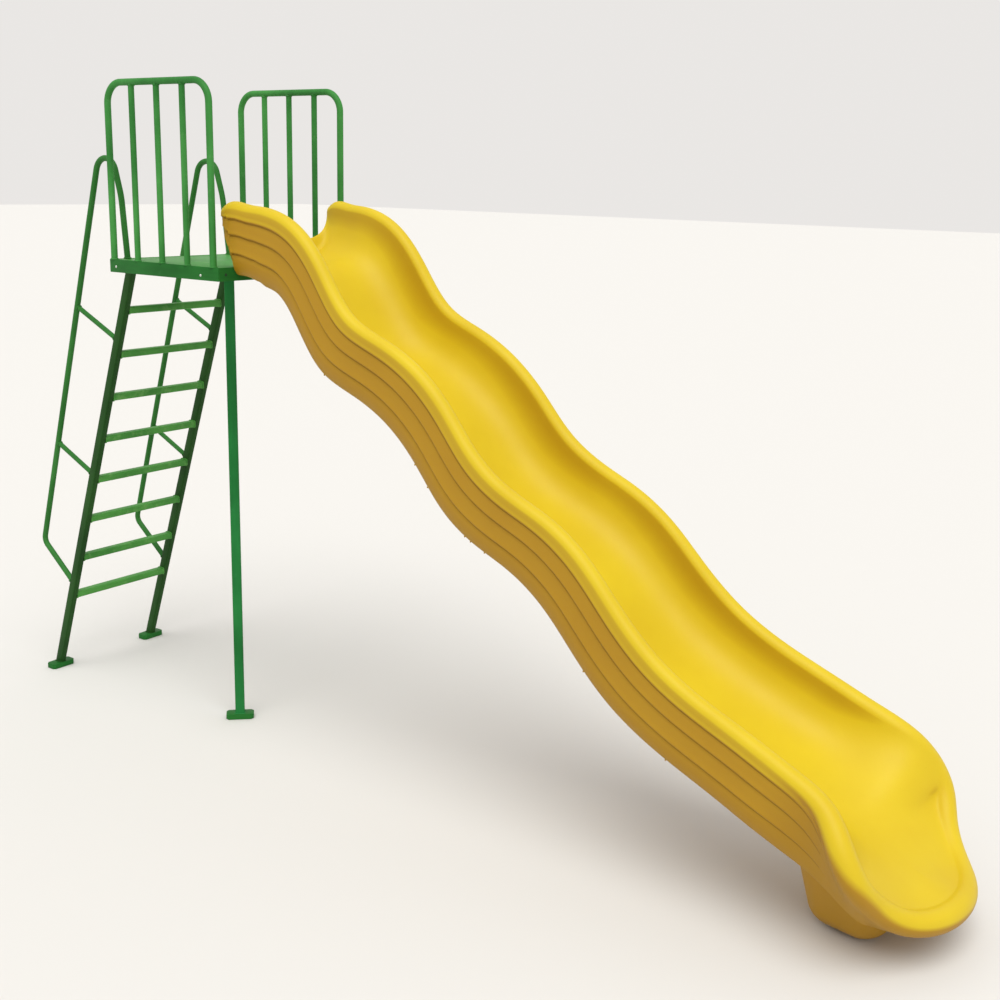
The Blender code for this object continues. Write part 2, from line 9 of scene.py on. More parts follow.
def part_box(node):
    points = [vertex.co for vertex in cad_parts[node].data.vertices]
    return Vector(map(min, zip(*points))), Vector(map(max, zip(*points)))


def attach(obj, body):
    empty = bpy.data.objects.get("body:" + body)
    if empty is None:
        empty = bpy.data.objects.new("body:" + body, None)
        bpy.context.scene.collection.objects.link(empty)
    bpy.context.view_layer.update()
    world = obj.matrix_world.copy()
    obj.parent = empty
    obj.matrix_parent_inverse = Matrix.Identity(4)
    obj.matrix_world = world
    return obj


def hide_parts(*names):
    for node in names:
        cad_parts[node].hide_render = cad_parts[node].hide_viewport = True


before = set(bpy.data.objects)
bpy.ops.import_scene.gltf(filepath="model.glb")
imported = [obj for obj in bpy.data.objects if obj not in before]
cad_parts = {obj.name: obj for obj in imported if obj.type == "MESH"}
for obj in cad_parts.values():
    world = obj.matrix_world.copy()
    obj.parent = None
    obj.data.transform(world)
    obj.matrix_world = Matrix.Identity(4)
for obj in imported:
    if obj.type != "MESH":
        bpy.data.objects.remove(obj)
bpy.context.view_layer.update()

# Deck tray
# Four flat steel bars stand on edge round a steel floor plate that lies a little below their tops.
# The bars are welded at the corners, the plate along the inside, and all of it is painted green.

START_X = -1.63455                   # distances along the slide start here, just behind the deck
DECK_TOP = 2.200
SKIRT_BOTTOM = 2.141
PLATE_TOP = 2.198
DECK_HALF_WIDTH = 0.412
DECK_BACK = 0.022
DECK_FRONT = 0.754
SKIRT_INSIDE = 0.0053
BAR_ROUNDING = 0.0014
PLATE_ROUNDING = 0.0008
CORNER_WELD_INSET = 0.0012
FINE_WELD = 0.0022
WELD = 0.0032
WELD_RIPPLE = 0.0035
PAINT_GLOSS = 0.12
# painted shade: the green of the flat bars, pads and bracket is darker than the tubes' green, matched to the
# bars' shaded sides
EDGE_SHADE_GREEN = (0.014, 0.140, 0.020)
# painted light: the floor plate's green is paler than the tubes' green, for the light on its top
FLOOR_LIT_GREEN = (0.052, 0.270, 0.046)


def at(x, y, z):
    return Vector((x + START_X, y, z))


def blank_material(name):
    """A new material, its tree of nodes and its shader."""
    material = bpy.data.materials.new(name)
    material.use_nodes = True
    return material, material.node_tree, material.node_tree.nodes["Principled BSDF"]


def noise(tree, place, scale, detail=2.0, roughness=0.5):
    """Soft clouds of grey, as fine as scale says."""
    clouds = tree.nodes.new("ShaderNodeTexNoise")
    clouds.inputs["Scale"].default_value = scale
    clouds.inputs["Detail"].default_value = detail
    clouds.inputs["Roughness"].default_value = roughness
    tree.links.new(place, clouds.inputs["Vector"])
    return clouds.outputs["Fac"]


def tones(tree, value, dark, pale, start=0.0, end=1.0):
    """A colour that goes from dark to pale as value goes from start to end."""
    ramp = tree.nodes.new("ShaderNodeValToRGB")
    ramp.color_ramp.elements[0].position = start
    ramp.color_ramp.elements[0].color = (*dark, 1)
    ramp.color_ramp.elements[1].position = end
    ramp.color_ramp.elements[1].color = (*pale, 1)
    tree.links.new(value, ramp.inputs["Fac"])
    return ramp.outputs["Color"]


def ranged(tree, value, low, high, start=0.0, end=1.0):
    """A number that goes from low to high as value goes from start to end."""
    spread = tree.nodes.new("ShaderNodeMapRange")
    spread.inputs["From Min"].default_value = start
    spread.inputs["From Max"].default_value = end
    spread.inputs["To Min"].default_value = low
    spread.inputs["To Max"].default_value = high
    tree.links.new(value, spread.inputs["Value"])
    return spread.outputs["Result"]


def blend(tree, share, under, over, way="MIX"):
    """One colour laid over another. Each of the three is a plain value or comes out of a node."""
    layers = tree.nodes.new("ShaderNodeMix")
    layers.data_type = "RGBA"
    layers.blend_type = way
    for socket, source in (("Factor", share), ("A", under), ("B", over)):
        if isinstance(source, bpy.types.NodeSocket):
            tree.links.new(source, layers.inputs[socket])
        else:
            layers.inputs[socket].default_value = source
    return layers.outputs["Result"]


def add_relief(tree, shader, height, strength, distance):
    """Fine unevenness of a surface."""
    raised = tree.nodes.new("ShaderNodeBump")
    raised.inputs["Strength"].default_value = strength
    raised.inputs["Distance"].default_value = distance
    tree.links.new(height, raised.inputs["Height"])
    tree.links.new(raised.outputs["Normal"], shader.inputs["Normal"])


def green_paint(name, colour, grain, worn=0.0):
    """Brushed gloss paint on steel: uneven film, faint brush lines along grain, and dull worn spots."""
    material, tree, shader = blank_material(name)
    place = tree.nodes.new("ShaderNodeTexCoord").outputs["Object"]
    red, green, blue = colour
    deep = (red * 0.72, green * 0.72, blue * 0.72)
    pale = (red * 1.45, green * 1.16, blue * 1.30)
    film = tones(tree, noise(tree, place, scale=3.2, detail=3.0), deep, pale, start=0.32, end=0.70)
    along = tree.nodes.new("ShaderNodeMapping")
    along.inputs["Scale"].default_value = grain
    tree.links.new(place, along.inputs["Vector"])
    brush = noise(tree, along.outputs["Vector"], scale=60.0, detail=5.0)
    streaked = blend(tree, 0.22, film, brush, "OVERLAY")
    # worn spots, where feet and hands have dulled the film
    spots = noise(tree, place, scale=22.0, detail=8.0, roughness=0.62)
    rubbed = ranged(
        tree, spots, low=0.0, high=0.25 + 0.35 * worn, start=0.60 - 0.10 * worn, end=0.72 - 0.08 * worn,
    )
    dulled = blend(tree, rubbed, streaked, (red * 2.6, green * 1.30, blue * 2.2, 1))
    tree.links.new(dulled, shader.inputs["Base Color"])
    tree.links.new(ranged(tree, brush, low=0.34, high=0.56), shader.inputs["Roughness"])
    uneven = tree.nodes.new("ShaderNodeMath")
    tree.links.new(brush, uneven.inputs[0])
    tree.links.new(noise(tree, place, scale=260.0), uneven.inputs[1])
    add_relief(tree, shader, uneven.outputs["Value"], strength=0.16, distance=0.0012)
    shader.inputs["Specular IOR Level"].default_value = PAINT_GLOSS
    return material


def finish_piece(name, bm, material, nodes=(), crease=35):
    """Puts a finished mesh in the scene, on the frame, with its paint and the nodes it stands for."""
    bmesh.ops.recalc_face_normals(bm, faces=bm.faces)
    mesh = bpy.data.meshes.new(name)
    bm.to_mesh(mesh)
    bm.free()
    mesh.materials.append(material)
    mesh.shade_smooth()
    mesh.set_sharp_from_angle(angle=math.radians(crease))
    piece = bpy.data.objects.new(name, mesh)
    bpy.context.scene.collection.objects.link(piece)
    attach(piece, "root")
    if nodes:
        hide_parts(*nodes)
    return piece


def add_bar(bm, low, high, rounding, steps=3):
    """A steel bar between two corners, with its edges eased as they are after grinding and paint."""
    made = bmesh.ops.create_cube(bm, size=1.0)["verts"]
    for vert in made:
        for axis in range(3):
            share = vert.co[axis] + 0.5
            vert.co[axis] = low[axis] + (high[axis] - low[axis]) * share
    edges = list(dict.fromkeys(edge for vert in made for edge in vert.link_edges))
    bmesh.ops.bevel(bm, geom=edges, offset=rounding, segments=steps, profile=0.5, affect="EDGES")


def add_loft(bm, rings, closed=False):
    """Skins rings of points of equal count. Closes both ends, or joins the last ring to the first."""
    rows = [[bm.verts.new(point) for point in ring] for ring in rings]
    pairs = list(zip(rows, rows[1:]))
    if closed:
        # the last ring meets the first at whichever corner lies nearest
        first, last = rows[0], rows[-1]
        shift = min(range(len(first)), key=lambda corner: (first[corner].co - last[0].co).length)
        pairs.append((last, first[shift:] + first[:shift]))
    for near, far in pairs:
        for k in range(len(near)):
            after = (k + 1) % len(near)
            bm.faces.new((near[k], near[after], far[after], far[k]))
    if not closed:
        bm.faces.new(rows[0][::-1])
        bm.faces.new(rows[-1])


def add_sweep(bm, points, radius, sides=24, closed=False):
    """A round section carried along a path without twisting. radius is a number or one for each point."""
    path = [Vector(point) for point in points]
    count = len(path)
    radii = [radius] * count if isinstance(radius, (int, float)) else list(radius)
    ways = []
    for i in range(count):
        before = path[i - 1] if i or closed else path[0]
        after = path[(i + 1) % count] if i < count - 1 or closed else path[-1]
        ways.append((after - before).normalized())
    across = ways[0].orthogonal().normalized()
    turns = [2 * math.pi * k / sides for k in range(sides)]
    rings = []
    for point, way, size in zip(path, ways, radii):
        across = (across - way * across.dot(way)).normalized()
        other = way.cross(across)
        rings.append([point + (across * math.cos(t) + other * math.sin(t)) * size for t in turns])
    add_loft(bm, rings, closed)


def add_weld(bm, points, size=WELD, closed=False):
    """A weld bead: a thin lumpy run of metal, one ripple for every few millimetres of travel."""
    path = [Vector(points[0])]
    for target in list(points[1:]) + ([points[0]] if closed else []):
        target = Vector(target)
        steps = max(1, round((target - path[-1]).length / WELD_RIPPLE))
        start = path[-1]
        path += [start.lerp(target, step / steps) for step in range(1, steps + 1)]
    if closed:
        path.pop()
    radii = [size * (1.0 + 0.16 * math.sin(1.9 * i) + 0.08 * math.sin(0.7 * i + 1)) for i in range(len(path))]
    add_sweep(bm, path, radii, sides=8, closed=closed)


flat_shade_green = green_paint("green_paint_flat_bar", EDGE_SHADE_GREEN, (0.15, 0.15, 1.0))
floor_lit_green = green_paint("green_paint_floor", FLOOR_LIT_GREEN, (0.25, 1.0, 1.0), worn=0.7)

for node in ("deck_skirt_right", "deck_skirt_left", "deck_skirt_back", "deck_skirt_front"):
    low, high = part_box(node)
    bar = bmesh.new()
    add_bar(bar, low, high, BAR_ROUNDING)
    finish_piece(node + "_bar", bar, flat_shade_green, [node])

low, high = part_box("deck_plate")
plate = bmesh.new()
add_bar(plate, low, high, PLATE_ROUNDING, 2)
inside_back, inside_front = DECK_BACK + SKIRT_INSIDE, DECK_FRONT - SKIRT_INSIDE
inside_left = DECK_HALF_WIDTH - SKIRT_INSIDE
inside = [
    at(inside_back, -inside_left, PLATE_TOP), at(inside_front, -inside_left, PLATE_TOP),
    at(inside_front, inside_left, PLATE_TOP), at(inside_back, inside_left, PLATE_TOP),
]
add_weld(plate, inside, FINE_WELD, closed=True)
finish_piece("deck_floor", plate, floor_lit_green, ["deck_plate"])

corners = bmesh.new()
for x in (DECK_BACK + CORNER_WELD_INSET, DECK_FRONT - CORNER_WELD_INSET):
    for y in (-inside_left, inside_left):
        add_weld(corners, [at(x, y, SKIRT_BOTTOM + 0.002), at(x, y, DECK_TOP - 0.001)], FINE_WELD)
finish_piece("deck_corner_welds", corners, flat_shade_green)

# Deck bearer
# A square steel tube under the plate from side to side. It takes the deck's load to the front post,
# and is welded to both side bars and along the underside of the plate.

BEARER_ROUNDING = 0.003
BEARER_WELDS = (-0.36, -0.12, 0.12, 0.30)
BEARER_WELD_LENGTH = 0.06

low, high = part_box("deck_bearer")
bearer = bmesh.new()
add_bar(bearer, low, high, BEARER_ROUNDING)
for x in (low.x, high.x):
    for start in BEARER_WELDS:
        add_weld(bearer, [(x, start, high.z - 0.001), (x, start + BEARER_WELD_LENGTH, high.z - 0.001)])
finish_piece("deck_bearer_tube", bearer, flat_shade_green, ["deck_bearer"])

# Deck bolts
# Round-headed zinc-plated bolts through the side bars, two on each side. The front bar has a spare
# hole near each end.

BOLT_RADIUS = 0.0062
BOLT_HEIGHT = 0.0042
BOLT_PLACES = ((0.066, 2.167), (0.640, 2.162))
SPARE_HOLES = (-0.369, 0.369)
SPARE_HOLE_HEIGHT = 2.169
SPARE_HOLE_RADIUS = 0.0065
DOME_SIDES = 18
DOME_PROFILE = ((1.0, 0.0), (1.0, 0.16), (0.93, 0.26), (0.80, 0.52), (0.55, 0.82), (0.28, 0.96))


def zinc_plate():
    """Bright zinc plating, gone slightly cloudy."""
    material, tree, shader = blank_material("zinc_plating")
    cloud = noise(tree, tree.nodes.new("ShaderNodeTexCoord").outputs["Object"], scale=240.0)
    tone = tones(tree, cloud, (0.40, 0.44, 0.40), (0.72, 0.76, 0.70))
    tree.links.new(tone, shader.inputs["Base Color"])
    tree.links.new(ranged(tree, cloud, low=0.28, high=0.55), shader.inputs["Roughness"])
    shader.inputs["Metallic"].default_value = 0.8
    return material


def hole_shadow():
    """The dark of a drilled hole, with a little paint in it."""
    material, tree, shader = blank_material("hole_shadow")
    cloud = noise(tree, tree.nodes.new("ShaderNodeTexCoord").outputs["Generated"], scale=120.0)
    tone = tones(tree, cloud, (0.004, 0.010, 0.005), (0.012, 0.030, 0.014))
    tree.links.new(tone, shader.inputs["Base Color"])
    shader.inputs["Roughness"].default_value = 0.9
    return material


def ring_points(centre, normal, radius, count=20):
    normal = Vector(normal).normalized()
    across = normal.orthogonal().normalized()
    other = normal.cross(across)
    turns = [2 * math.pi * k / count for k in range(count)]
    return [Vector(centre) + (across * math.cos(t) + other * math.sin(t)) * radius for t in turns]


def add_dome(bm, centre, outward, radius, height):
    """A domed head with a thin flange, standing on a face."""
    outward = Vector(outward).normalized()
    rings = []
    for share, rise in DOME_PROFILE:
        middle = Vector(centre) + outward * (height * rise)
        rings.append(ring_points(middle, outward, radius * share, DOME_SIDES))
    add_loft(bm, rings)


bolts = bmesh.new()
for side in (-1, 1):
    for x, z in BOLT_PLACES:
        add_dome(bolts, at(x, side * DECK_HALF_WIDTH, z), (0, side, 0), BOLT_RADIUS, BOLT_HEIGHT)
finish_piece("deck_bolt_heads", bolts, zinc_plate())

# painted shade: each spare hole is a thin dark disc on the front bar's face, standing in for the shade inside
# it
holes = bmesh.new()
for y in SPARE_HOLES:
    rim = ring_points(at(DECK_FRONT + 0.0003, y, SPARE_HOLE_HEIGHT), (1, 0, 0), SPARE_HOLE_RADIUS, DOME_SIDES)
    back = [point - Vector((0.0002, 0, 0)) for point in rim]
    add_loft(holes, [rim, back])
finish_piece("deck_spare_holes", holes, hole_shadow())

# Ladder stringers and feet
# Two leaning rectangular steel tubes, notched at the top round the deck's back bar and welded to
# the plate. Each stands on a thick foot pad with clipped corners, welded all round.

LADDER_TOP_X = 0.052
LADDER_LEAN = 0.760 / 2.200
LADDER_HALF_SPACING = 0.301
STRINGER_DEPTH = 0.046
STRINGER_WIDTH = 0.032
STRINGER_ROUNDING = 0.0050
# painted shade: the ladder sides' green is much darker than the rest of the paint, for the shade on their
# faces
STRINGER_SHADE_GREEN = (0.013, 0.072, 0.009)
PLATE_BOTTOM = 2.1937
PAD_HALF_DEPTH = 0.033
PAD_HALF_WIDTH = 0.066
PAD_CLIP = 0.012
PAD_TOP = 0.026
# from the ground up: how far in the pad's edge lies, and at what height
PAD_LAYERS = (
    (0.0012, 0.0), (0.0, 0.0012), (0.0, PAD_TOP - 0.0022), (0.0008, PAD_TOP - 0.0006), (0.0024, PAD_TOP),
)
PAD_WELD = 0.0036


def ladder_x(height):
    return LADDER_TOP_X - LADDER_LEAN * (DECK_TOP - height)


def rounded_outline(length, width, rounding, steps=4):
    """Corners of a rectangle about the origin, each rounded."""
    points = []
    for turn in range(4):
        start = math.pi / 2 * turn
        sign_x = 1 if turn in (0, 3) else -1
        sign_y = 1 if turn in (0, 1) else -1
        for step in range(steps + 1):
            angle = start + math.pi / 2 * step / steps
            x = sign_x * (length / 2 - rounding) + rounding * math.cos(angle)
            y = sign_y * (width / 2 - rounding) + rounding * math.sin(angle)
            points.append((x, y))
    return points


def add_pad(bm, centre, turn=0.0):
    """A foot pad with clipped corners and eased edges, its length across the way that turn points."""
    spin = Matrix.Rotation(turn, 3, "Z")
    rings = []
    for inset, z in PAD_LAYERS:
        half_x, half_y = PAD_HALF_DEPTH - inset, PAD_HALF_WIDTH - inset
        clip = PAD_CLIP - inset * 0.4
        corners = (
            (half_x, half_y - clip), (half_x - clip, half_y),
            (-half_x + clip, half_y), (-half_x, half_y - clip),
            (-half_x, -half_y + clip), (-half_x + clip, -half_y),
            (half_x - clip, -half_y), (half_x, -half_y + clip),
        )
        rings.append([Vector(centre) + spin @ Vector((x, y, z)) for x, y in corners])
    add_loft(bm, rings)


side_shade_green = green_paint("green_paint_stringer", STRINGER_SHADE_GREEN, (1.0, 1.0, 0.12))
for side, hand in ((-1, "right"), (1, "left")):
    y = side * LADDER_HALF_SPACING
    outline = rounded_outline(STRINGER_DEPTH, STRINGER_WIDTH, STRINGER_ROUNDING)
    inner_face = DECK_BACK + SKIRT_INSIDE + 0.0003
    heights = (PAD_TOP - 0.001, 0.6, 1.2, 1.8, SKIRT_BOTTOM - 0.0004)
    rings = [[at(ladder_x(z) + x, y + across, z) for x, across in outline] for z in heights]
    for z in (SKIRT_BOTTOM, PLATE_BOTTOM):
        rings.append([at(max(ladder_x(z) + x, inner_face), y + across, z) for x, across in outline])
    stringer = bmesh.new()
    add_loft(stringer, rings)
    base = [at(ladder_x(PAD_TOP) + x * 1.05, y + across * 1.05, PAD_TOP) for x, across in outline]
    add_weld(stringer, base, PAD_WELD, closed=True)
    finish_piece("ladder_side_" + hand, stringer, side_shade_green, ["ladder_stringer_" + hand])
    pad = bmesh.new()
    add_pad(pad, at(ladder_x(PAD_TOP), y, 0))
    finish_piece("ladder_pad_" + hand, pad, flat_shade_green, ["ladder_foot_" + hand])

# Ladder rungs
# Eight treads of flattened steel tube, 44 by 33 mm, set level between the sides and welded all
# round at both ends. Shoes have dulled the paint on their tops.

RUNG_COUNT = 8
FIRST_RUNG = DECK_TOP - 0.248
RUNG_PITCH = 0.218
RUNG_DEPTH = 0.044
RUNG_HEIGHT = 0.033
RUNG_ROUNDING = 0.0065
RUNG_WELD = 0.0030
# painted light: the treads' green is paler than the rest of the paint, for the light on their tops
TREAD_LIT_GREEN = (0.064, 0.290, 0.050)

tread_lit_green = green_paint("green_paint_tread", TREAD_LIT_GREEN, (1.0, 0.12, 1.0), worn=0.6)
for number in range(RUNG_COUNT):
    z = FIRST_RUNG - number * RUNG_PITCH
    outline = rounded_outline(RUNG_DEPTH, RUNG_HEIGHT, RUNG_ROUNDING, 5)
    end = LADDER_HALF_SPACING - STRINGER_WIDTH / 2
    tread = bmesh.new()
    add_loft(tread, [
        [at(ladder_x(z) + x, y, z + up) for x, up in outline] for y in (-end, -end / 3, end / 3, end)
    ])
    for side in (-1, 1):
        bead = [at(ladder_x(z) + x * 1.04, side * (end - 0.0012), z + up * 1.05) for x, up in outline]
        add_weld(tread, bead, RUNG_WELD, closed=True)
    name = "ladder_rung_%d" % (number + 1)
    finish_piece(name + "_tread", tread, tread_lit_green, [name])

# Handrails
# One length of 28 mm tube on each side, bent over in a tight loop above the deck, straight down
# beside the ladder, and kicked back in to the side near the ground. Welded at both ends.

HANDRAIL_RADIUS = 0.014
HANDRAIL_CORNERS = (
    (0.0264, 0.3144, 2.200), (-0.006, 0.310, 2.480), (-0.112, 0.307, 2.830),
    (-0.776, 0.302, 0.685), (-0.535, 0.301, 0.490),
)
HANDRAIL_RADII = (0.35, 0.074, 0.050)
HANDRAIL_END_WELD = 0.031            # how far back from the tube's lower end it meets the ladder side
BEAD_OUT = 0.0008                    # how far outside a tube the middle of the bead round it lies
TUBE_WELD = 0.0030
TUBE_GREEN = (0.026, 0.165, 0.026)


def bent_path(corners, radii, segments):
    """The middle of a tube through corners, bent to a radius at each one between the ends."""
    points = [Vector(corners[0])]
    for before, corner, after, radius in zip(corners, corners[1:], corners[2:], radii):
        corner = Vector(corner)
        back = (Vector(before) - corner).normalized()
        on = (Vector(after) - corner).normalized()
        half = back.angle(on) / 2
        centre = corner + (back + on).normalized() * (radius / math.sin(half))
        start = (corner + back * (radius / math.tan(half)) - centre).normalized()
        end = (corner + on * (radius / math.tan(half)) - centre).normalized()
        points += [centre + start.slerp(end, step / segments) * radius for step in range(segments + 1)]
    points.append(Vector(corners[-1]))
    return points


def add_ring_weld(bm, centre, way, radius, size):
    """A bead of weld all round a tube."""
    add_weld(bm, ring_points(centre, way, radius), size, closed=True)


tube_green = green_paint("green_paint_tube", TUBE_GREEN, (1.0, 1.0, 0.10), worn=0.25)
for side, hand in ((-1, "right"), (1, "left")):
    corners = [at(x, side * y, z) for x, y, z in HANDRAIL_CORNERS]
    rail = bmesh.new()
    add_sweep(rail, bent_path(corners, HANDRAIL_RADII, 24), HANDRAIL_RADIUS, 28)
    add_ring_weld(rail, corners[0] + Vector((0, 0, 0.001)), (0, 0, 1), HANDRAIL_RADIUS + 0.001, TUBE_WELD)
    run = (corners[-1] - corners[-2]).normalized()
    add_ring_weld(rail, corners[-1] - run * HANDRAIL_END_WELD, run, HANDRAIL_RADIUS + BEAD_OUT, WELD)
    finish_piece("handrail_tube_" + hand, rail, tube_green, ["handrail_" + hand])

# Handrail stand-offs
# Short struts of 24 mm tube, two on each side, that hold the handrail away from the ladder. They
# slope down from the rail to the back of the side tube, with a bead of weld round each end.

STANDOFF_RADIUS = 0.012
STANDOFF_HEIGHTS = (1.945, 1.237)
STANDOFF_FALL = 0.47
STANDOFF_RAIL_WELD = 0.0155          # from the middle of the rail
STANDOFF_SIDE_WELD = 0.0275          # from the middle of the ladder side
STANDOFF_WELD = 0.0028

for side, hand in ((-1, "right"), (1, "left")):
    for number, height in enumerate(STANDOFF_HEIGHTS):
        high, low = Vector(HANDRAIL_CORNERS[2]), Vector(HANDRAIL_CORNERS[3])
        start = low.lerp(high, (height - low.z) / (high.z - low.z))
        reach = (ladder_x(height) - start.x) / (1 + LADDER_LEAN * STANDOFF_FALL)
        begin = at(start.x, side * start.y, height)
        end = at(start.x + reach, side * LADDER_HALF_SPACING, height - reach * STANDOFF_FALL)
        way = (end - begin).normalized()
        strut = bmesh.new()
        add_sweep(strut, [begin + way * 0.003, begin.lerp(end, 0.5), end], STANDOFF_RADIUS, 24)
        for middle in (begin + way * STANDOFF_RAIL_WELD, end - way * STANDOFF_SIDE_WELD):
            add_ring_weld(strut, middle, way, STANDOFF_RADIUS + BEAD_OUT, STANDOFF_WELD)
        name = "handrail_standoff_%s_%d" % (hand, number + 1)
        finish_piece(name + "_strut", strut, tube_green, [name])

# Guards
# A hoop of 30 mm tube on each side of the deck with three upright bars of 27 mm tube in it. The
# bars are notched to the top rail and welded, and every leg is welded to the deck's edge.

GUARD_RADIUS = 0.0150
GUARD_BAR_RADIUS = 0.0135
GUARD_FOOT = DECK_TOP + 0.0005
GUARD_TOP = DECK_TOP + 0.777
GUARD_BEND = 0.092
GUARD_BACK = 0.043
GUARD_FRONT = 0.711
GUARD_BARS = 3
GUARD_PLANE = 0.401
GUARD_WELD_LIMIT = 0.4190
BAR_TOP_WELD = 0.0026
# painted light: the guards' green is paler than the handrails' green, for the light on them
GUARD_LIT_GREEN = (0.042, 0.245, 0.046)

guard_lit_green = green_paint("green_paint_guard", GUARD_LIT_GREEN, (1.0, 1.0, 0.10), worn=0.15)

for side, hand in ((-1, "right"), (1, "left")):
    y = side * GUARD_PLANE
    corners = [
        at(GUARD_BACK, y, GUARD_FOOT), at(GUARD_BACK, y, GUARD_TOP),
        at(GUARD_FRONT, y, GUARD_TOP), at(GUARD_FRONT, y, GUARD_FOOT),
    ]
    guard = bmesh.new()
    add_sweep(guard, bent_path(corners, (GUARD_BEND, GUARD_BEND), 18), GUARD_RADIUS, 28)
    spacing = (GUARD_FRONT - GUARD_BACK) / (GUARD_BARS + 1)
    for number in range(GUARD_BARS):
        x = GUARD_BACK + spacing * (number + 1)
        add_sweep(guard, [at(x, y, z) for z in (GUARD_FOOT, 2.45, 2.7, GUARD_TOP)], GUARD_BAR_RADIUS, 26)
        top_weld = at(x, y, GUARD_TOP - 0.0148)
        add_ring_weld(guard, top_weld, (0, 0, 1), GUARD_BAR_RADIUS + 0.0004, BAR_TOP_WELD)
        add_ring_weld(guard, at(x, y, DECK_TOP + 0.001), (0, 0, 1), GUARD_BAR_RADIUS, TUBE_WELD)
    for x in (GUARD_BACK, GUARD_FRONT):
        add_ring_weld(guard, at(x, y, DECK_TOP + 0.001), (0, 0, 1), GUARD_RADIUS, WELD)
    # no bead stands more than 3 mm outside the hoop's tube
    for vert in guard.verts:
        vert.co.y = side * min(abs(vert.co.y), GUARD_WELD_LIMIT)
    finish_piece("guard_hoop_" + hand, guard, guard_lit_green, ["guard_rail_" + hand])

# Front post and foot
# One square steel tube carries the front of the deck. It stands turned cornerwise to the deck on
# a thick foot pad, and is welded to the bearer at its head.

POST_X = 0.560
POST_Y = -0.175
POST_SIZE = 0.044
POST_ROUNDING = 0.0048
POST_TURN = math.radians(45)
POST_HEAD = 2.1534
POST_GREEN = (0.013, 0.185, 0.037)

post = bmesh.new()
spin = Matrix.Rotation(POST_TURN, 3, "Z")
outline = [spin @ Vector((x, y, 0)) for x, y in rounded_outline(POST_SIZE, POST_SIZE, POST_ROUNDING)]
heights = (PAD_TOP - 0.001, 0.5, 1.0, 1.5, POST_HEAD)
add_loft(post, [[at(POST_X, POST_Y, z) + corner for corner in outline] for z in heights])
add_weld(post, [at(POST_X, POST_Y, PAD_TOP) + corner * 1.05 for corner in outline], PAD_WELD, closed=True)
head = [at(POST_X, POST_Y, POST_HEAD - 0.002) + corner * 1.02 for corner in outline]
add_weld(post, head, TUBE_WELD, closed=True)
post_green = green_paint("green_paint_post", POST_GREEN, (1.0, 1.0, 0.10))
finish_piece("front_post_tube", post, post_green, ["front_post"])
pad = bmesh.new()
add_pad(pad, at(POST_X, POST_Y, 0), POST_TURN - math.pi / 2)
finish_piece("front_post_pad", pad, flat_shade_green, ["front_post_foot"])

# Slide bracket
# A bent steel plate bolted to the deck's front bar. The chute lies on it, so it slopes with the
# start of the bed. Its front corners are rounded off.

BRACKET_SLOPE = math.atan2(0.030, 0.110)
BRACKET_HALF_WIDTH = 0.210
BRACKET_STRAIGHT = 0.078             # how far it runs before its corners
BRACKET_CORNER = 0.030
BRACKET_THICKNESS = 0.006
BRACKET_ROUNDING = 0.0010
CORNER_STEPS = 8

low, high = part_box("slide_bracket")
bracket = bmesh.new()
rear = Vector((low.x + 0.0003, 0, high.z - 0.0066))
way = Vector((math.cos(BRACKET_SLOPE), 0, -math.sin(BRACKET_SLOPE)))
up = Vector((math.sin(BRACKET_SLOPE), 0, math.cos(BRACKET_SLOPE)))
edge = [(0.0, -BRACKET_HALF_WIDTH), (0.0, BRACKET_HALF_WIDTH)]
side = BRACKET_HALF_WIDTH - BRACKET_CORNER
turns = [math.pi / 2 * step / CORNER_STEPS for step in range(CORNER_STEPS + 1)]
for t in turns:
    edge.append((BRACKET_STRAIGHT + BRACKET_CORNER * math.sin(t), side + BRACKET_CORNER * math.cos(t)))
for t in turns:
    edge.append((BRACKET_STRAIGHT + BRACKET_CORNER * math.cos(t), -side - BRACKET_CORNER * math.sin(t)))
layers = (
    (0.0, BRACKET_ROUNDING), (BRACKET_ROUNDING, 0.0),
    (BRACKET_THICKNESS - BRACKET_ROUNDING, 0.0), (BRACKET_THICKNESS, BRACKET_ROUNDING),
)
rings = []
for rise, inset in layers:
    shrink = 1 - inset / BRACKET_HALF_WIDTH
    lift = up * (rise - BRACKET_THICKNESS)
    rings.append([rear + way * (x * shrink) + Vector((0, y * shrink, 0)) + lift for x, y in edge])
add_loft(bracket, rings)
finish_piece("slide_bracket_plate", bracket, flat_shade_green, ["slide_bracket"])

# Slide chute
# One hollow moulding of yellow polyethylene: a deep bed between walls that roll over into thick
# rims, with three stepped lines along each outer wall and a broad rounded lip at the foot.

